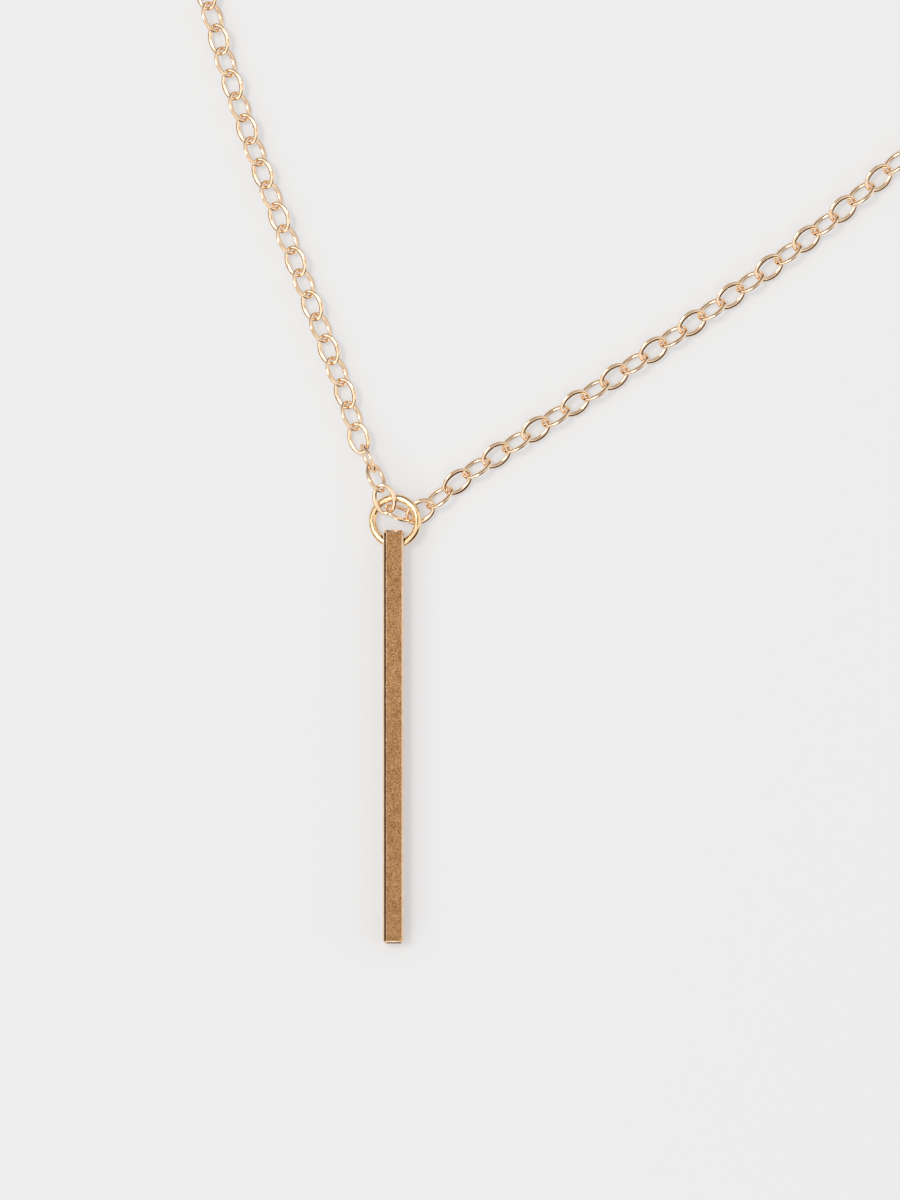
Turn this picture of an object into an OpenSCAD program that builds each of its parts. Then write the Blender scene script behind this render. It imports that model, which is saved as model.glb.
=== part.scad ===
// Bar pendant necklace: a square metal bar, cross-drilled near its top, hangs from a round
// jump ring on a fine oval cable chain. It lies flat, the bar's back on the surface at z = 0,
// with the origin under the middle of the bar and +Y along the bar towards the chain.

/* [Bar] */
// Length of the bar
bar_l = 40; // [30:0.5:60]
// Width of the bar, seen from the front
bar_w = 2; // [1.9:0.05:2.1]
// Thickness of the bar, front to back
bar_t = 2.2; // [2.1:0.05:2.25]
// Radius of the softened edges
edge_r = 0.22; // [0.1:0.02:0.3]
// Diameter of the hole drilled through the bar from left to right
hole_d = 1.56; // [1.5:0.02:1.6]
// Distance from the bar's top end to the middle of the hole
hole_in = 1.1; // [1.05:0.05:1.15]

/* [Jump ring] */
// Outside diameter of the jump ring
ring_d = 5.25; // [5.2:0.05:5.3]
// Wire of the jump ring
ring_wire = 0.74; // [0.6:0.02:0.76]

/* [Chain] */
// Wire of the chain's links
wire = 0.38; // [0.3:0.01:0.38]
// Radius of a link's end arcs, to the middle of the wire
end_r = 0.78; // [0.77:0.01:0.79]
// Distance from one link's middle to the next
pitch = 2.277; // [2.26:0.001:2.28]
// Links in the left strand
left_links = 92; // [80:2:110]

/* [Clasp] */
// Radius of the clasp's ring, to the middle of its wire
clasp_r = 2.2; // [2.15:0.05:2.25]
// Wire of the clasp's ring
clasp_wire = 0.9; // [0.8:0.05:0.9]
// Radius of the clasp's eye, to the middle of its wire
eye_r = 1; // [1:0.02:1.04]
// Wire of the clasp's eye
eye_wire = 0.5; // [0.4:0.05:0.5]
// Radius of the ring that the clasp hooks into, to the middle of its wire
end_ring_r = 1.5; // [1.48:0.01:1.52]
// Wire of the ring that the clasp hooks into
end_ring_wire = 0.5; // [0.4:0.05:0.5]

/* [Hidden] */
$fn = 24;

rose_gold = [0.86, 0.66, 0.5];
satin_gold = [0.72, 0.54, 0.37];
yellow_gold = [0.9, 0.73, 0.47];

// A link is an oval of four arcs. The line that two arcs share rises 4 for every 3 across,
// so the middles of the arcs are whole numbers of oval_unit apart and the arcs join exactly.
oval_unit = 0.21;
side_r = end_r + 5 * oval_unit;
link_end = end_r + 3 * oval_unit;
wedge = 0.8;

// The jump ring stands on the chain at its right, so it leans up to the right
ring_at = [0.17, 20.87, 1.17];
ring_tip = 2;
ring_lean = 14;

// The links that cross the jump ring, from the left strand to the right one. The first four
// climb from the surface, the fifth lies over the ring, the sixth is inside it and the seventh
// passes under it.
// x, y, z of the middle, heading, nose up, roll to the left side up
CROSSING = [
    [-4.05, 31.07, 0.88, -67, 0, -40],
    [-3.36, 28.90, 0.95, -75, 0, 23],
    [-2.47, 26.92, 1.24, -63, 15, 74],
    [-1.66, 25.06, 1.92, -70, 14, -48],
    [-0.86, 22.99, 1.80, -77, -15, 10],
    [0.64, 21.64, 1.26, -16, -23, -55],
    [2.61, 21.80, 0.82, 34, 6, 11],
    [4.45, 23.17, 0.98, 38, 0, -51],
    [6.20, 24.68, 0.95, 38, 0, 22],
];
// How many of them belong to the left chain
LEFT_OF_RING = 5;

// Each strand's links roll one way and the other in turn, all with their middles at one
// height, and every link swings a little off the strand's line
// roll and swing of the even links, roll and swing of the odd ones, height of the middles
LEFT_LAY = [-29, -2, 35, 3, 0.88];
RIGHT_LAY = [-48, -2, 18, 4, 0.94];
// The last link of each strand rolls further, round the clasp's eye or the end ring
last_z = 0.98;
last_roll = 48;

// Where each strand leaves the crossing: x, y, heading
LEFT_START = [-4.68, 33.24, 110.5];
RIGHT_START = [8.06, 26.02, 33];
// The bends of each strand, outwards from the crossing: length, turn to the left
LEFT_BENDS = [[22, 0], [18, -5.5]];
RIGHT_BENDS = [[16, 1], [16, 2], [20, 7]];

// Where one bend of a length and a turn ends, from a place and heading
function bend(at, length, turn) =
    let (chord = turn == 0 ? length : length * sin(turn / 2) / (turn / 2 * PI / 180))
    [at.x + chord * cos(at.z + turn / 2), at.y + chord * sin(at.z + turn / 2), at.z + turn];

// The place and heading at a distance along a list of bends
function along(at, bends, distance, i = 0) =
    i == len(bends) - 1 || distance <= bends[i][0]
    ? bend(at, distance, bends[i][1] * distance / bends[i][0])
    : along(bend(at, bends[i][0], bends[i][1]), bends, distance - bends[i][0], i + 1);

function total(bends, i = 0) = i == len(bends) ? 0 : bends[i][0] + total(bends, i + 1);

function cross2(a, b) = a.x * b.y - a.y * b.x;
function towards(heading) = [cos(heading), sin(heading)];

// Behind its bends each strand runs straight on, and one arc joins the two round the back.
// The straight lines meet in front at an angle of 2 * half_open, each a run away from there.
left_end = along(LEFT_START, LEFT_BENDS, total(LEFT_BENDS));
right_end = along(RIGHT_START, RIGHT_BENDS, total(RIGHT_BENDS));
half_open = (left_end.z - right_end.z) / 2;
spread = [left_end.x - right_end.x, left_end.y - right_end.y];
opening = cross2(towards(left_end.z), towards(right_end.z));
left_run = cross2(spread, towards(right_end.z)) / opening;
right_run = cross2(spread, towards(left_end.z)) / opening;

// From the clasp's middle to the last link of each strand, and to the end ring
left_gap = 4.46;
right_gap = 4.84;
END_RING_AT = [2.67, 0.18];
end_ring_lean = 43;
// The clasp lies on the end ring and leans down to its eye
clasp_z = 1.15;
clasp_lean = 2.5;

// The back arc is as large as the left strand's links and the clasp need
back_share = (90 + half_open) * PI / 180;
left_length = (left_links - 1) * pitch + left_gap;
tangent = (left_length - total(LEFT_BENDS) + left_run) / (1 + tan(half_open) * back_share);
back_r = tangent * tan(half_open);
LEFT_ROUTE = concat(LEFT_BENDS, [[tangent - left_run, 0], [back_r * back_share, -90 - half_open]]);
RIGHT_ROUTE = concat(RIGHT_BENDS, [[tangent - right_run, 0], [back_r * back_share, 90 + half_open]]);
right_length = total(RIGHT_ROUTE) - right_gap;
right_links = 1 + floor(right_length / pitch);
right_pitch = right_length / (right_links - 1);
clasp_spot = along(LEFT_START, LEFT_ROUTE, total(LEFT_ROUTE));

// Part of a round wire's ring, cut off on the two lines from its middle to the corners of cut
module arc(radius, cut) {
    intersection() {
        rotate_extrude() translate([radius, 0]) circle(d = wire);
        translate([0, 0, -wire]) linear_extrude(2 * wire) polygon(concat([[0, 0]], cut));
    }
}

// One link, its length along X: an end arc at each end and a side arc at each side
module link() {
    for (way = [-1, 1]) {
        translate([way * 3 * oval_unit, 0, 0])
            arc(end_r, [[way * 3 * wedge, -4 * wedge], [way * 3 * wedge, 4 * wedge]]);
        translate([0, -way * 4 * oval_unit, 0])
            arc(side_r, [[-3 * wedge, way * 4 * wedge], [3 * wedge, way * 4 * wedge]]);
    }
}

// A link in place, from a row of x, y, z, heading, nose up and roll
module laid_link(row) {
    translate([row[0], row[1], row[2]]) rotate([0, 0, row[3]]) rotate([0, -row[4], 0])
        rotate([row[5], 0, 0]) link();
}

// The links of a strand, outwards from the crossing
module strand(start, route, links, step, lay) {
    for (i = [0 : links - 1]) {
        spot = along(start, route, i * step);
        odd = i % 2;
        last = i == links - 1;
        z = last ? last_z : lay[4];
        roll = last ? last_roll : lay[2 * odd];
        laid_link([spot.x, spot.y, z, spot.z + lay[2 * odd + 1], 0, roll]);
    }
}

module round_ring(radius, thickness) {
    rotate_extrude() translate([radius, 0]) circle(d = thickness);
}

// A rectangle with round corners
module soft_rectangle(a, b) {
    square([a - 2 * edge_r, b], center = true);
    square([a, b - 2 * edge_r], center = true);
    for (x = [-1, 1], y = [-1, 1])
        translate([x * (a / 2 - edge_r), y * (b / 2 - edge_r)]) circle(edge_r);
}

module bar() {
    color(satin_gold) difference() {
        translate([0, 0, bar_t / 2]) intersection() {
            rotate([90, 0, 0]) linear_extrude(2 * bar_l, center = true) soft_rectangle(bar_w, bar_t);
            rotate([0, 90, 0]) linear_extrude(2 * bar_w, center = true) soft_rectangle(bar_t, bar_l);
            linear_extrude(2 * bar_t, center = true) soft_rectangle(bar_w, bar_l);
        }
        translate([0, bar_l / 2 - hole_in, bar_t / 2]) rotate([0, 90, 0])
            cylinder(h = 2 * bar_w, d = hole_d, center = true);
    }
}

module jump_ring() {
    color(yellow_gold) translate(ring_at) rotate([ring_tip, 0, 0]) rotate([0, -ring_lean, 0])
        round_ring((ring_d - ring_wire) / 2, ring_wire);
}

module chain_left() {
    color(rose_gold) {
        for (i = [0 : LEFT_OF_RING - 1]) laid_link(CROSSING[i]);
        strand(LEFT_START, LEFT_ROUTE, left_links, pitch, LEFT_LAY);
    }
}

module chain_right() {
    color(rose_gold) {
        for (i = [LEFT_OF_RING : len(CROSSING) - 1]) laid_link(CROSSING[i]);
        strand(RIGHT_START, RIGHT_ROUTE, right_links, right_pitch, RIGHT_LAY);
    }
}

// Moves what is laid out along the clasp, its eye to the left, to its place on the loop
module at_clasp() {
    translate([clasp_spot.x, clasp_spot.y, 0]) rotate([0, 0, clasp_spot.z]) children();
}

module clasp() {
    eye_at = clasp_r + (clasp_wire + eye_wire) / 2;
    color(rose_gold) at_clasp() translate([0, 0, clasp_z]) rotate([0, -clasp_lean, 0]) {
        round_ring(clasp_r, clasp_wire);
        translate([-eye_at, 0, 0]) round_ring(eye_r, eye_wire);
    }
}

module end_ring() {
    middle_z = end_ring_r * sin(end_ring_lean) + end_ring_wire / 2;
    color(rose_gold) at_clasp() translate([END_RING_AT.x, END_RING_AT.y, middle_z])
        rotate([end_ring_lean, 0, 0]) round_ring(end_ring_r, end_ring_wire);
}

bar();
jump_ring();
chain_left();
chain_right();
clasp();
end_ring();
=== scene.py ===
# %% [markdown]
# # A bar pendant on its chain
#
# The object is a necklace: a slim square bar hangs from a jump ring on a fine cable chain. It
# lies flat and is seen from straight above. The imported model gives the real size and place of
# every piece, so this file only adds looks: finer surfaces, metal finishes, light and a camera.
# It could all be drawn by eye, but then nothing would fit the model. So the model is
# loaded first and every piece is made in its frame, in metres.

import math

import bmesh
import bpy
import numpy as np
from mathutils import Matrix, Vector


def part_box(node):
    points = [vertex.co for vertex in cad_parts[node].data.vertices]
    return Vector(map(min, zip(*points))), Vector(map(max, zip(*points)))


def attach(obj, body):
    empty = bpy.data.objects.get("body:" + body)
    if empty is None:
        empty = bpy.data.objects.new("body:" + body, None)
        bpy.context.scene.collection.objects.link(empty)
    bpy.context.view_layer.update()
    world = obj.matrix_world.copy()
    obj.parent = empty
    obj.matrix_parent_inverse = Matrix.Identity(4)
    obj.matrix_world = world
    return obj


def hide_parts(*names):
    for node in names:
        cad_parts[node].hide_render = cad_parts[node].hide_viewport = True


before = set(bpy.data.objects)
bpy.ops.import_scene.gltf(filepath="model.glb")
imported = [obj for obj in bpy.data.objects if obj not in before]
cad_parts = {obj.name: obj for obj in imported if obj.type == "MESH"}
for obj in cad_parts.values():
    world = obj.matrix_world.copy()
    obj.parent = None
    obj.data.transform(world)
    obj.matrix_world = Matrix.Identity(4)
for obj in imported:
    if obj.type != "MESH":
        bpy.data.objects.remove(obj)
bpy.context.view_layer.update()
MM = 0.001
print("nodes in the frame:", sorted(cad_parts))

# %% [markdown]
# ## The studio
#
# Polished metal shows what stands around it. Jewellery is shot in a pale tent: bright walls make
# the metal glow, and the few dark things left draw the lines that give it shape. One lamp alone
# would leave most of the metal black. So the room is a pale wall above a dark horizon, which
# reaches higher at the left than at the right. The wall is brightest at the left and near sides
# and dimmer at the far one. A small dark hood hangs beside the camera, and a dark doorway at the
# lower right draws the black streaks along that side of the links. One lamp high at the left
# throws the short shadows to the right.

# %% The room around the table
scene = bpy.context.scene
scene.view_settings.view_transform = "Standard"
room = bpy.data.worlds.new("studio_room")
scene.world = room
room.use_nodes = True
room_nodes, room_links = room.node_tree.nodes, room.node_tree.links
direction = room_nodes.new("ShaderNodeTexCoord").outputs["Generated"]


def aim(azimuth, elevation):
    """The direction of a place in the room: degrees round from +X, and degrees up."""
    a, e = math.radians(azimuth), math.radians(elevation)
    return Vector((math.cos(e) * math.cos(a), math.cos(e) * math.sin(a), math.sin(e)))


def room_tone(azimuth, elevation, stops):
    """A tone that follows how nearly a direction points to a place, 1 being straight at it."""
    dot = room_nodes.new("ShaderNodeVectorMath")
    dot.operation = "DOT_PRODUCT"
    dot.inputs[1].default_value = aim(azimuth, elevation)
    room_links.new(direction, dot.inputs[0])
    ramp = room_nodes.new("ShaderNodeValToRGB")
    room_links.new(dot.outputs["Value"], ramp.inputs["Fac"])
    ends = ramp.color_ramp.elements
    ends[0].position, ends[1].position = stops[0][0], stops[-1][0]
    ends[0].color, ends[1].color = (*stops[0][1], 1), (*stops[-1][1], 1)
    for place, tone in stops[1:-1]:
        ends.new(place).color = (*tone, 1)
    return ramp.outputs["Color"]


def times(one, other):
    product = room_nodes.new("ShaderNodeVectorMath")
    product.operation = "MULTIPLY"
    room_links.new(one, product.inputs[0])
    room_links.new(other, product.inputs[1])
    return product.outputs[0]


def grey(amount):
    return amount, amount, amount


WARM_DARK = (0.05, 0.018, 0.004)
WARM_HOOD = (0.2, 0.1, 0.045)
FULL = grey(1)
# The walls' tones follow a place a little right of straight up, so the horizon is tilted
wall_stops = [
    (0, WARM_DARK),
    (0.24, WARM_DARK),
    (0.31, grey(0.88)),
    (0.45, FULL),
    (0.85, grey(1.04)),
    (1, grey(0.98)),
]
bright_stops = [(0, grey(0.92)), (0.3, grey(0.98)), (0.75, grey(1.13)), (1, grey(1.2))]
walls = room_tone(20, 82, wall_stops)
bright_side = room_tone(215, 20, bright_stops)
far_side = room_tone(90, 18, [(0, FULL), (0.72, FULL), (0.9, grey(0.4)), (1, grey(0.35))])
hood = room_tone(20, 84, [(0, FULL), (0.968, FULL), (0.982, WARM_HOOD), (1, WARM_HOOD)])
doorway = room_tone(-57, 24, [(0, FULL), (0.857, FULL), (0.879, WARM_DARK), (1, WARM_DARK)])
light_of_room = times(times(walls, doorway), times(times(bright_side, far_side), hood))
room_links.new(light_of_room, room_nodes["Background"].inputs["Color"])
print("room: dark up to 22 degrees at the left and 6 at the right, pale above")


# %% The panels
LIT_POINT = Vector((0.005, 0.015, 0))
# Watts that a square metre of panel needs to look as bright as white paper
WHITE_WATTS = 4


def panel(name, azimuth, elevation, distance, width, tall, glow):
    """A soft panel that faces the lit point, glow times as bright as white paper."""
    light = bpy.data.lights.new(name, "AREA")
    light.shape = "RECTANGLE"
    light.size, light.size_y = width, tall
    light.energy = WHITE_WATTS * glow * width * tall
    lamp = bpy.data.objects.new(name, light)
    scene.collection.objects.link(lamp)
    lamp.location = LIT_POINT + aim(azimuth, elevation) * distance
    lamp.rotation_euler = aim(azimuth, elevation).to_track_quat("Z", "Y").to_euler()
    print(f"{name}: {width} by {tall} m at {azimuth} degrees, {elevation} up, glow {glow}")


# azimuth and elevation in degrees, distance, width and height in metres, glow
panel("key_lamp", 155, 67, 1.2, 0.36, 0.36, 8.8)
panel("left_strip", 205, 31, 1.3, 1.3, 0.16, 1.2)
panel("near_strip", -98, 31, 1.3, 0.9, 0.16, 1.1)
panel("right_card", 4, 8, 1.2, 0.8, 0.34, 0.8)

# %% [markdown]
# ## The table
#
# The shadows in the photograph are faint, as on a light table, a pale sheet lit softly from
# below. Paper lit from above alone would show darker ones. So one large flat square glows a
# little by itself, and the light from above adds the rest.


# %% The floor
def node_kit(material):
    """The nodes, the links and the main shader of a material."""
    material.use_nodes = True
    tree = material.node_tree
    return tree.nodes, tree.links, tree.nodes["Principled BSDF"]


PAPER_TONE, PAPER_GLOW = 0.4, 0.42
HALF_SHEET = 2.5
paper = bpy.data.materials.new("pale_light_table")
_, _, paper_shader = node_kit(paper)
paper_shader.inputs["Base Color"].default_value = (*grey(PAPER_TONE), 1)
paper_shader.inputs["Emission Color"].default_value = (1, 1, 1, 1)
paper_shader.inputs["Emission Strength"].default_value = PAPER_GLOW
paper_shader.inputs["Roughness"].default_value = 1
paper_shader.inputs["Specular IOR Level"].default_value = 0
sheet = bmesh.new()
bmesh.ops.create_grid(sheet, x_segments=1, y_segments=1, size=HALF_SHEET)
floor_mesh = bpy.data.meshes.new("floor")
sheet.to_mesh(floor_mesh)
sheet.free()
floor_mesh.materials.append(paper)
floor = bpy.data.objects.new("floor", floor_mesh)
scene.collection.objects.link(floor)
print(f"floor at z = 0, {2 * HALF_SHEET:g} m square")

# %% [markdown]
# ## The camera
#
# The photograph is taken from straight above with a long lens, so nothing leans. The camera
# looks down from 0.6 m above the middle of the metal, and the lens is worked out so that the 1200
# rows of the picture span their real 116.3 mm there.

# %% The camera over the table
PIXEL = 0.0969 * MM
ROWS = 1200
PICTURE_MIDDLE = (5.49 * MM, 13.23 * MM)
CAMERA_HEIGHT = 0.6
# How high the middle of the metal lies above the table
METAL_LEVEL = 1 * MM
camera_data = bpy.data.cameras.new("camera")
camera = bpy.data.objects.new("camera", camera_data)
scene.collection.objects.link(camera)
camera.location = (*PICTURE_MIDDLE, CAMERA_HEIGHT + METAL_LEVEL)
camera_data.sensor_width = 36
camera_data.lens = camera_data.sensor_width * CAMERA_HEIGHT / (ROWS * PIXEL)
camera_data.clip_start = 0.01
scene.camera = camera
print(f"lens {camera_data.lens:.1f} mm")

# %% [markdown]
# ## Where the links lie
#
# A cable chain is a row of equal oval links, each through the next, that roll one way and the
# other in turn. The links could be placed by hand, but there are almost two hundred. The model
# lays them along two routes with a few bends, and a short table holds the nine links that cross
# the jump ring. The same routes and table are repeated here, so each link falls exactly on its
# rougher twin in the frame.

# %% The links that cross the jump ring
# x, y, z of the middle in mm, heading, nose up, roll to the left side up
CROSSING = [
    (-4.05, 31.07, 0.88, -67, 0, -40),
    (-3.36, 28.90, 0.95, -75, 0, 23),
    (-2.47, 26.92, 1.24, -63, 15, 74),
    (-1.66, 25.06, 1.92, -70, 14, -48),
    (-0.86, 22.99, 1.80, -77, -15, 10),
    (0.64, 21.64, 1.26, -16, -23, -55),
    (2.61, 21.80, 0.82, 34, 6, 11),
    (4.45, 23.17, 0.98, 38, 0, -51),
    (6.20, 24.68, 0.95, 38, 0, 22),
]
LEFT_OF_RING = 5
print(len(CROSSING), "links cross the jump ring")

# %% The two strands, outwards from the crossing
PITCH = 2.277
LAST_Z, LAST_ROLL = 0.98, 48
# start (x, y, heading), bends (length, turn), roll and swing of even links, of odd ones, height
LEFT = {
    "start": (-4.68, 33.24, 110.5),
    "bends": [(22, 0), (18, -5.5)],
    "lay": ((-29, -2), (35, 3)),
    "height": 0.88,
}
RIGHT = {
    "start": (8.06, 26.02, 33),
    "bends": [(16, 1), (16, 2), (20, 7)],
    "lay": ((-48, -2), (18, 4)),
    "height": 0.94,
}
LEFT_GAP, RIGHT_GAP = 4.46, 4.84


def bend(place, length, turn):
    """Where a bend of some length and turn ends."""
    half = math.radians(turn / 2)
    chord = length if turn == 0 else length * math.sin(half) / half
    a = math.radians(place[2]) + half
    return place[0] + chord * math.cos(a), place[1] + chord * math.sin(a), place[2] + turn


def along(place, bends, distance):
    """The place and heading at a distance along a row of bends."""
    for length, turn in bends[:-1]:
        if distance <= length:
            return bend(place, distance, turn * distance / length)
        place = bend(place, length, turn)
        distance -= length
    length, turn = bends[-1]
    return bend(place, distance, turn * distance / length)


print("the left strand starts at", LEFT["start"], "and the right one at", RIGHT["start"])


# %% The loop round the back, from the left strand's 92 links
def reach(bends):
    return sum(length for length, _ in bends)


def cross2(a, b):
    return a[0] * b[1] - a[1] * b[0]


def unit(heading):
    return math.cos(math.radians(heading)), math.sin(math.radians(heading))


LEFT_LINKS = 92
left_end = along(LEFT["start"], LEFT["bends"], reach(LEFT["bends"]))
right_end = along(RIGHT["start"], RIGHT["bends"], reach(RIGHT["bends"]))
half_open = (left_end[2] - right_end[2]) / 2
spread = (left_end[0] - right_end[0], left_end[1] - right_end[1])
opening = cross2(unit(left_end[2]), unit(right_end[2]))
left_run = cross2(spread, unit(right_end[2])) / opening
right_run = cross2(spread, unit(left_end[2])) / opening
back_share = math.radians(90 + half_open)
widen = math.tan(math.radians(half_open))
left_length = (LEFT_LINKS - 1) * PITCH + LEFT_GAP
tangent = (left_length - reach(LEFT["bends"]) + left_run) / (1 + widen * back_share)
back_arc = tangent * widen * back_share
left_route = LEFT["bends"] + [(tangent - left_run, 0), (back_arc, -90 - half_open)]
right_route = RIGHT["bends"] + [(tangent - right_run, 0), (back_arc, 90 + half_open)]
right_length = reach(right_route) - RIGHT_GAP
right_links = 1 + math.floor(right_length / PITCH)
clasp_spot = along(LEFT["start"], left_route, reach(left_route))
print(f"back arc radius {tangent * widen:.1f} mm, {LEFT_LINKS} and {right_links} links")


# %% One place for every link
def turned(degrees, axis):
    return Matrix.Rotation(math.radians(degrees), 4, axis)


def link_place(x, y, z, heading, nose, roll):
    turn = turned(heading, "Z") @ turned(-nose, "Y")
    return Matrix.Translation((x, y, z)) @ turn @ turned(roll, "X")


def strand(side, route, links, step):
    """The places of one strand's links, outwards from the crossing."""
    places = []
    for i in range(links):
        x, y, heading = along(side["start"], route, i * step)
        roll, swing = side["lay"][i % 2]
        z = side["height"]
        if i == links - 1:
            z, roll = LAST_Z, LAST_ROLL
        places.append(link_place(x, y, z, heading + swing, 0, roll))
    return places


crossing = [link_place(*row) for row in CROSSING]
right_pitch = right_length / (right_links - 1)
left_places = crossing[:LEFT_OF_RING] + strand(LEFT, left_route, LEFT_LINKS, PITCH)
right_places = crossing[LEFT_OF_RING:] + strand(RIGHT, right_route, right_links, right_pitch)
print(len(left_places), "links in the left chain,", len(right_places), "in the right one")

# %% [markdown]
# ## The links
#
# Real links are cut from a coil of wire, closed, soldered and then pressed, so the wire is
# wider than thick, and most so along its sides. The model's links are round wire. A curve with
# a bevel would do, but a ring of cross sections round the oval gives full control of the
# pressed wire and clean texture coordinates along it. The sides only widen inwards, where the
# next links don't touch them, so the outline stays the same.

# %% The oval and its wire
OVAL_UNIT = 0.21
END_R = 0.78
SIDE_R = END_R + 5 * OVAL_UNIT
ROUND_STEPS, WIRE_STEPS = 48, 20
# The pressed wire in mm: half its width and thickness, and how squarely its section is rounded
HALF_WIDE, HALF_THICK, SQUARENESS = 0.19, 0.165, 2.3
# How far the sides widen inwards, and how far from the middle that fades out along the link
PRESSED_IN, PRESSED_REACH = 0.05, 1.2
# Once round the wire, rounded, for the texture's width
WIRE_ROUND = 1.1


def oval_points(steps):
    """Points evenly round the oval: middle of the wire, and the way out from the oval."""
    split = math.atan2(4, 3)
    arcs = [
        (3 * OVAL_UNIT, 0, END_R, -split, split),
        (0, -4 * OVAL_UNIT, SIDE_R, split, math.pi - split),
        (-3 * OVAL_UNIT, 0, END_R, math.pi - split, math.pi + split),
        (0, 4 * OVAL_UNIT, SIDE_R, math.pi + split, 2 * math.pi - split),
    ]
    total = sum(r * (b - a) for _, _, r, a, b in arcs)
    points = []
    for k in range(steps):
        far = total * k / steps
        for x, y, r, a, b in arcs:
            if far <= r * (b - a):
                break
            far -= r * (b - a)
        t = a + far / r
        out = (math.cos(t), math.sin(t))
        points.append(((x + r * out[0], y + r * out[1]), out))
    return points, total


def squarely(part):
    """A cosine or sine of a round wire, moved out towards a square one's."""
    return math.copysign(abs(part) ** (2 / SQUARENESS), part)


def wire_section(half_wide):
    """Points round a pressed wire, rounder than a rectangle and squarer than an oval."""
    section = []
    for k in range(WIRE_STEPS):
        t = 2 * math.pi * k / WIRE_STEPS
        section.append((squarely(math.cos(t)) * half_wide, squarely(math.sin(t)) * HALF_THICK))
    return section


ring_of_points, link_round = oval_points(ROUND_STEPS)
link_shape = []
for p, out in ring_of_points:
    pressed = PRESSED_IN * max(0, 1 - (p[0] / PRESSED_REACH) ** 2)
    for wide, thick in wire_section(HALF_WIDE + pressed):
        away = wide - pressed
        link_shape.append((p[0] + out[0] * away, p[1] + out[1] * away, thick))
link_shape = np.array(link_shape)
print(f"one link: {link_round:.2f} mm round, {len(link_shape)} points")


# %% A whole chain as one mesh
def grid_faces(rows, columns):
    """The faces of a closed ring of closed sections."""
    faces = []
    for i in range(rows):
        for j in range(columns):
            a, b = i * columns, (i + 1) % rows * columns
            k = (j + 1) % columns
            faces.append((a + j, b + j, b + k, a + k))
    return np.array(faces)


def grid_uv(rows, columns, u_size, v_size):
    """Where each face's corners lie on the unrolled wire."""
    spots = []
    for i in range(rows):
        for j in range(columns):
            u0, u1 = i / rows * u_size, (i + 1) / rows * u_size
            v0, v1 = j / columns * v_size, (j + 1) / columns * v_size
            spots += [(u0, v0), (u1, v0), (u1, v1), (u0, v1)]
    return np.array(spots)


def put(points, place):
    return points @ np.array(place.to_3x3()).T + np.array(place.translation)


def piece_from(name, points, faces, spots):
    """A smooth mesh object, its points in mm, with one texture place a corner."""
    mesh = bpy.data.meshes.new(name)
    mesh.from_pydata((np.asarray(points) * MM).tolist(), [], np.asarray(faces).tolist())
    mesh.polygons.foreach_set("use_smooth", [True] * len(mesh.polygons))
    unrolled = mesh.uv_layers.new(name="unrolled")
    unrolled.data.foreach_set("uv", np.asarray(spots, float).ravel())
    mesh.update()
    thing = bpy.data.objects.new(name, mesh)
    scene.collection.objects.link(thing)
    return thing


# How far each link's texture lies from the one before, so that no two links look the same
SPOT_STEP = np.array((7.3, 1.7))


def chain_piece(name, places):
    """Every link of a chain in one mesh, each a loose solid."""
    faces = grid_faces(ROUND_STEPS, WIRE_STEPS)
    spots = grid_uv(ROUND_STEPS, WIRE_STEPS, link_round, WIRE_ROUND)
    points, all_faces, all_spots = [], [], []
    for n, place in enumerate(places):
        points.append(put(link_shape, place))
        all_faces.append(faces + n * len(link_shape))
        all_spots.append(spots + n * SPOT_STEP)
    thing = piece_from(name, *map(np.concatenate, (points, all_faces, all_spots)))
    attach(thing, "root")
    print(name, len(places), "links,", len(thing.data.polygons) * 2, "triangles")
    return thing


left_chain = chain_piece("left_chain_links", left_places)
right_chain = chain_piece("right_chain_links", right_places)
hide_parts("chain_left")
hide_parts("chain_right")
for piece, node in ((left_chain, "chain_left"), (right_chain, "chain_right")):
    model = np.array(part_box(node))
    ours = np.array([v.co for v in piece.data.vertices])
    drift = abs(np.array((ours.min(0), ours.max(0))) - model)[:, :2].max()
    print(f"{node}: the finer links match the model's box to {drift / MM:.3f} mm")

# %% [markdown]
# ## The rings
#
# The jump ring, the clasp's ring and the end ring are bent from round wire. Each is a torus,
# made with enough steps that its outline stays round when the camera comes close.


# %% A round ring of round wire
def round_angles(steps):
    return np.linspace(0, 2 * math.pi, steps, endpoint=False)


def ring_shape(radius, wire, rows=128, columns=28):
    section = [(wire / 2 * math.cos(t), wire / 2 * math.sin(t)) for t in round_angles(columns)]
    points = []
    for t in round_angles(rows):
        for out, up in section:
            points.append(((radius + out) * math.cos(t), (radius + out) * math.sin(t), up))
    faces = grid_faces(rows, columns)
    spots = grid_uv(rows, columns, 2 * math.pi * radius, math.pi * wire)
    return np.array(points), faces, spots


JUMP_AT, JUMP_TIP, JUMP_LEAN = (0.17, 20.87, 1.17), 2, 14
JUMP_ACROSS, JUMP_WIRE = 5.25, 0.74
jump_place = Matrix.Translation(JUMP_AT) @ turned(JUMP_TIP, "X") @ turned(-JUMP_LEAN, "Y")
points, faces, spots = ring_shape((JUMP_ACROSS - JUMP_WIRE) / 2, JUMP_WIRE)
jump_ring = piece_from("jump_ring_wire", put(points, jump_place), faces, spots)
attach(jump_ring, "root")
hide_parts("jump_ring")
print("jump ring:", len(jump_ring.data.polygons), "faces")

# %% The clasp group at the back
CLASP_R, CLASP_WIRE = 2.2, 0.9
CLASP_Z, CLASP_LEAN = 1.15, 2.5
EYE_R, EYE_WIRE = 1.0, 0.5
END_RING_R, END_RING_WIRE, END_RING_LEAN = 1.5, 0.5, 43
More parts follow.
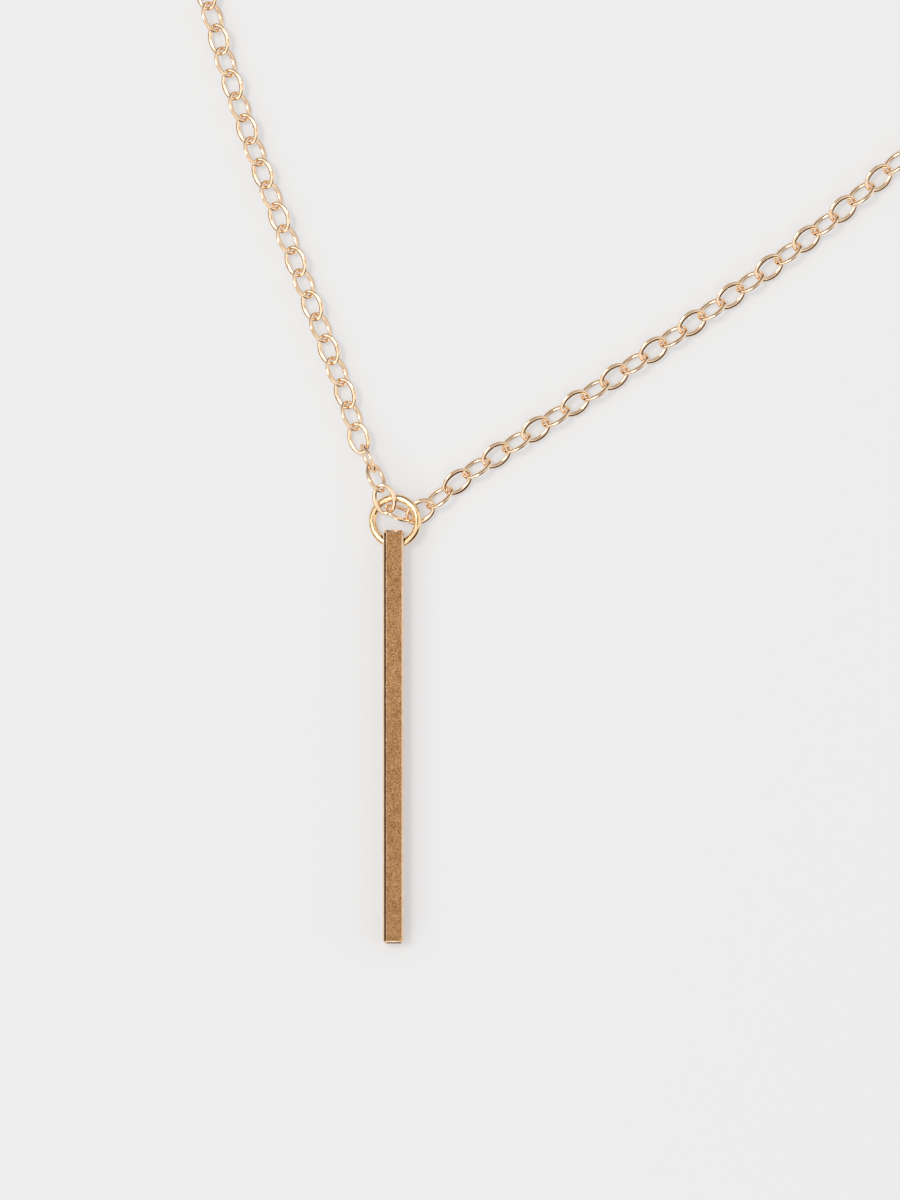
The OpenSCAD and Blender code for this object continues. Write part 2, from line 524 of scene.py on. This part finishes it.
# The end ring's middle, seen from the clasp's
END_RING_AT = (2.67, 0.18)
at_clasp = Matrix.Translation((clasp_spot[0], clasp_spot[1], 0)) @ turned(clasp_spot[2], "Z")
lean = Matrix.Translation((0, 0, CLASP_Z)) @ turned(-CLASP_LEAN, "Y")
eye_at = CLASP_R + (CLASP_WIRE + EYE_WIRE) / 2
middle_z = END_RING_R * math.sin(math.radians(END_RING_LEAN)) + END_RING_WIRE / 2
end_place = at_clasp @ Matrix.Translation((*END_RING_AT, middle_z)) @ turned(END_RING_LEAN, "X")
points, faces, spots = ring_shape(END_RING_R, END_RING_WIRE, rows=96, columns=20)
end_ring = piece_from("end_ring_wire", put(points, end_place), faces, spots)
clasp_ring, clasp_faces, clasp_spots = ring_shape(CLASP_R, CLASP_WIRE, rows=112, columns=32)
eye, eye_faces, eye_spots = ring_shape(EYE_R, EYE_WIRE, rows=72, columns=20)
clasp_points = np.concatenate([clasp_ring, eye - [eye_at, 0, 0]])
clasp_faces = np.concatenate([clasp_faces, eye_faces + len(clasp_ring)])
clasp = piece_from(
    "clasp_ring_and_eye",
    put(clasp_points, at_clasp @ lean),
    clasp_faces,
    np.concatenate([clasp_spots, eye_spots]),
)
for thing, node in ((end_ring, "end_ring"), (clasp, "clasp")):
    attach(thing, "root")
    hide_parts(node)
print("clasp at", [round(v, 1) for v in clasp_spot])

# %% [markdown]
# ## The bar
#
# The bar is a length of square rod, drilled across near its top for the jump ring. Its long
# edges are filed off twice and polished, so each has two narrow strips. At the left they slope
# about 40 and 50 degrees and catch a dark and a bright line. At the right they are narrower and
# steeper and only catch the pale table. The ends are filed off in the same way, but flatter.
# The model's bar is right in size, but its edges have few faces. A bevel alone can't give two
# strips of chosen slopes, so the rod is drawn from its cross section, drawn in towards its ends
# and drilled, and bevels only soften the rims of the hole and the lines between the strips.

# %% The drilled rod
BAR = Vector((2.0, 40.0, 2.2)) * MM
# Half-width and half-height of the rod at the ends of the strips, from a side to the face
LEFT_STRIPS = [(1.0, 0.8), (0.88, 0.94), (0.69, 1.1)]
RIGHT_STRIPS = [(1.0, 0.86), (0.93, 0.97), (0.82, 1.1)]
# How far from an end the section is drawn in, and by how much
ENDS = [(0, 0.18), (0.12, 0.075), (0.25, 0)]
RIM_BREAK, SOFT_LINE = 0.03 * MM, 0.012 * MM
HOLE_R, HOLE_IN, HOLE_STEPS = 0.78 * MM, 1.1 * MM, 96
HOLE_Y = BAR.y / 2 - HOLE_IN


def solid(name, build):
    """An object from a bmesh that build fills."""
    form = bmesh.new()
    build(form)
    mesh = bpy.data.meshes.new(name)
    form.to_mesh(mesh)
    form.free()
    thing = bpy.data.objects.new(name, mesh)
    scene.collection.objects.link(thing)
    return thing


def drawn_in(section, amount):
    """The section with each of its sides moved in by the same amount."""
    moved = []
    for k, here in enumerate(section):
        before, after = section[k - 1], section[(k + 1) % len(section)]
        one = Vector((before[1] - here[1], here[0] - before[0])).normalized()
        two = Vector((here[1] - after[1], after[0] - here[0])).normalized()
        shift = (one + two) * (amount / (1 + one.dot(two)))
        moved.append((here[0] + shift.x, here[1] + shift.y))
    return moved


def rod(form):
    half = RIGHT_STRIPS + [(-x, z) for x, z in reversed(LEFT_STRIPS)]
    section = half + [(-x, -z) for x, z in half]
    far_end = BAR.y / 2 / MM
    stations = [(in_from - far_end, amount) for in_from, amount in ENDS]
    stations += [(-y, amount) for y, amount in reversed(stations)]
    rings = []
    for y, amount in stations:
        outline = drawn_in(section, amount)
        rings.append([form.verts.new((x * MM, y * MM, z * MM + BAR.z / 2)) for x, z in outline])
    form.faces.new(rings[0])
    form.faces.new(rings[-1])
    for near, far in zip(rings, rings[1:]):
        for k in range(len(section)):
            form.faces.new((near[k - 1], near[k], far[k], far[k - 1]))
    bmesh.ops.recalc_face_normals(form, faces=form.faces)


def drill(form):
    across = Matrix.Translation((0, HOLE_Y, BAR.z / 2)) @ turned(90, "Y")
    size = {"radius1": HOLE_R, "radius2": HOLE_R, "depth": 3 * BAR.x}
    bmesh.ops.create_cone(form, cap_ends=True, segments=HOLE_STEPS, matrix=across, **size)


def apply_modifiers(thing):
    """Fixes a piece's modifiers into its mesh."""
    seen = thing.evaluated_get(bpy.context.evaluated_depsgraph_get())
    mesh = bpy.data.meshes.new_from_object(seen)
    old, thing.data = thing.data, mesh
    mesh.name = thing.name
    thing.modifiers.clear()
    bpy.data.meshes.remove(old)


bar = solid("bar_body", rod)
cutter = solid("drill", drill)
cut = bar.modifiers.new("hole", "BOOLEAN")
cut.object, cut.operation, cut.solver = cutter, "DIFFERENCE", "EXACT"
apply_modifiers(bar)
bpy.data.objects.remove(cutter)
print("drilled rod:", len(bar.data.polygons), "faces")

# %% Its softened edges
NEARLY = 1e-7
SOFT_ANGLE = math.radians(7)


def on_rim(point):
    """Whether a point lies round the hole, on one of the bar's two sides."""
    at_a_side = abs(abs(point.x) - BAR.x / 2) < NEARLY
    return at_a_side and math.hypot(point.y - HOLE_Y, point.z - BAR.z / 2) < HOLE_R * 1.01


weight = bar.data.attributes.new("bevel_weight_edge", "FLOAT", "EDGE")
for edge in bar.data.edges:
    a, b = (bar.data.vertices[i].co for i in edge.vertices)
    if on_rim(a) and on_rim(b) and abs(a.x - b.x) < NEARLY:
        weight.data[edge.index].value = 1
rims = bar.modifiers.new("rims", "BEVEL")
rims.limit_method, rims.width, rims.segments = "WEIGHT", RIM_BREAK, 2
rims.use_clamp_overlap = False
apply_modifiers(bar)
soft = bar.modifiers.new("soft", "BEVEL")
soft.limit_method, soft.angle_limit = "ANGLE", SOFT_ANGLE
soft.width, soft.segments = SOFT_LINE, 3
soft.use_clamp_overlap, soft.harden_normals = False, True
bar.data.polygons.foreach_set("use_smooth", [True] * len(bar.data.polygons))
apply_modifiers(bar)
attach(bar, "root")
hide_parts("bar")
print("bar:", len(bar.data.polygons), "faces")

# %% [markdown]
# ## The finishes
#
# All the metal is plated in gold tones: the chain a polished rose gold, the jump ring a little
# yellower, and the bar a satin rose gold with a fine grain and bright polished edges. The bar's
# faces are darker than plated gold: painted shade for the dark hood above that they reflect.
# One flat metal would look like plastic foil, so each finish lets its colour and its gloss wander
# slightly, and adds the marks that its making leaves.


# %% Helpers for the finishes
def add(nodes, kind, **settings):
    """A new node; settings name its properties, or its inputs when they end in _in."""
    node = nodes.new(kind)
    for key, value in settings.items():
        if key.endswith("_in"):
            node.inputs[key[:-3].replace("_", " ")].default_value = value
        else:
            setattr(node, key, value)
    return node


def noise(nodes, links, coords, scale, detail=3.0, rough=0.5):
    made = add(nodes, "ShaderNodeTexNoise", Scale_in=scale, Detail_in=detail, Roughness_in=rough)
    links.new(coords, made.inputs["Vector"])
    return made.outputs["Fac"]


def stretched(nodes, links, coords, size, turn=0.0):
    """Coordinates turned about Z, then stretched, for grain that runs one way."""
    first = add(nodes, "ShaderNodeMapping", vector_type="POINT")
    first.inputs["Rotation"].default_value = (0, 0, math.radians(turn))
    links.new(coords, first.inputs["Vector"])
    second = add(nodes, "ShaderNodeMapping", vector_type="POINT")
    second.inputs["Scale"].default_value = size
    links.new(first.outputs[0], second.inputs["Vector"])
    return second.outputs[0]


# Where most of a noise's values lie
NOISE_LOW, NOISE_HIGH = 0.3, 0.7


def ranged(nodes, links, value, low, high):
    made = add(nodes, "ShaderNodeMapRange", To_Min_in=low, To_Max_in=high)
    made.inputs["From Min"].default_value = NOISE_LOW
    made.inputs["From Max"].default_value = NOISE_HIGH
    links.new(value, made.inputs["Value"])
    return made.outputs[0]


def two_tones(nodes, links, value, dark, light, from_low=NOISE_LOW, from_high=NOISE_HIGH):
    ramp = nodes.new("ShaderNodeValToRGB")
    first, last = ramp.color_ramp.elements
    first.position, last.position = from_low, from_high
    first.color, last.color = (*dark, 1), (*light, 1)
    links.new(value, ramp.inputs["Fac"])
    return ramp.outputs["Color"]


def bump(nodes, links, height, depth, under=None):
    made = add(nodes, "ShaderNodeBump", Strength_in=1, Distance_in=depth)
    links.new(height, made.inputs["Height"])
    if under is not None:
        links.new(under, made.inputs["Normal"])
    return made.outputs["Normal"]


print("finish helpers ready")

# %% Polished rose gold for the chain
def polished_gold(name, dark, light, gloss_low, gloss_high):
    """Gold-toned metal with drawn lines along its wire and shallow dents."""
    gold = bpy.data.materials.new(name)
    nodes, links, shader = node_kit(gold)
    shader.inputs["Metallic"].default_value = 1
    wire_uv = add(nodes, "ShaderNodeUVMap", uv_map="unrolled").outputs["UV"]
    in_metal = add(nodes, "ShaderNodeTexCoord").outputs["Object"]
    patches = noise(nodes, links, in_metal, scale=900)
    links.new(two_tones(nodes, links, patches, dark, light), shader.inputs["Base Color"])
    wear = noise(nodes, links, wire_uv, scale=2.5, detail=4)
    links.new(ranged(nodes, links, wear, gloss_low, gloss_high), shader.inputs["Roughness"])
    along_wire = stretched(nodes, links, wire_uv, (0.6, 14, 1))
    drawn = noise(nodes, links, along_wire, scale=3, detail=3)
    dents = noise(nodes, links, in_metal, scale=2600, detail=2)
    shape = bump(nodes, links, drawn, depth=0.002 * MM)
    links.new(bump(nodes, links, dents, 0.006 * MM, under=shape), shader.inputs["Normal"])
    return gold


# the darker and the lighter tone, the least and the most roughness
rose_gold = polished_gold("polished_rose_gold", (0.89, 0.63, 0.41), (0.98, 0.75, 0.53), 0.03, 0.08)
for thing in (left_chain, right_chain, end_ring, clasp):
    thing.data.materials.append(rose_gold)
print("rose gold on the chain and its clasp")

# %% Polished yellow gold for the jump ring
yellow_tones = (0.90, 0.62, 0.34), (0.98, 0.73, 0.45)
yellow_gold = polished_gold("polished_yellow_gold", *yellow_tones, 0.04, 0.10)
jump_ring.data.materials.append(yellow_gold)
print("yellow gold on the jump ring")

# %% Satin rose gold for the bar's faces, darkened with painted shade
satin = bpy.data.materials.new("satin_rose_gold_with_painted_shade")
nodes, links, shader = node_kit(satin)
shader.inputs["Metallic"].default_value = 1
in_metal = add(nodes, "ShaderNodeTexCoord").outputs["Object"]
across_bar = stretched(nodes, links, in_metal, (4200, 14000, 4200), turn=35)
grain = noise(nodes, links, across_bar, scale=1, detail=2)
sand = noise(nodes, links, in_metal, scale=9000, detail=2)
blotches = noise(nodes, links, in_metal, scale=1200, detail=4, rough=0.6)
speckle = add(nodes, "ShaderNodeMix", data_type="FLOAT", Factor_in=0.5)
links.new(grain, speckle.inputs["A"])
links.new(sand, speckle.inputs["B"])
cloudy = add(nodes, "ShaderNodeMix", data_type="FLOAT", Factor_in=0.12)
links.new(speckle.outputs[0], cloudy.inputs["A"])
links.new(blotches, cloudy.inputs["B"])
# Both tones are far darker than plated gold. This is painted shade for the dark hood and camera
# above, which the upward faces reflect. The coppery hue and the random grain are the bar's own.
satin_tones_with_painted_shade = (0.195, 0.087, 0.024), (0.53, 0.306, 0.152)
tone = two_tones(nodes, links, cloudy.outputs[0], *satin_tones_with_painted_shade, from_low=0.40, from_high=0.60)
links.new(tone, shader.inputs["Base Color"])
links.new(ranged(nodes, links, blotches, 0.35, 0.42), shader.inputs["Roughness"])
shape = bump(nodes, links, grain, depth=0.012 * MM)
links.new(bump(nodes, links, sand, 0.008 * MM, under=shape), shader.inputs["Normal"])
bar.data.materials.append(satin)
print("satin rose gold on the bar")

# %% Bright edges
bright = bpy.data.materials.new("bright_edge_gold")
nodes, links, shader = node_kit(bright)
shader.inputs["Metallic"].default_value = 1
in_metal = add(nodes, "ShaderNodeTexCoord").outputs["Object"]
patches = noise(nodes, links, in_metal, scale=1500, detail=3)
tone = two_tones(nodes, links, patches, (0.88, 0.62, 0.40), (0.98, 0.74, 0.52))
links.new(tone, shader.inputs["Base Color"])
wear = noise(nodes, links, in_metal, scale=2500, detail=3)
links.new(ranged(nodes, links, wear, 0.06, 0.15), shader.inputs["Roughness"])
nicks = noise(nodes, links, in_metal, scale=3200, detail=2)
links.new(bump(nodes, links, nicks, depth=0.003 * MM), shader.inputs["Normal"])
bar.data.materials.append(bright)
# A face that looks nearly straight along X, Y or Z is one of the bar's satin faces
STRAIGHT = 0.999
on_edge = [int(max(abs(n) for n in face.normal) < STRAIGHT) for face in bar.data.polygons]
bar.data.polygons.foreach_set("material_index", on_edge)
print("bright edges:", sum(on_edge), "of", len(on_edge), "faces")
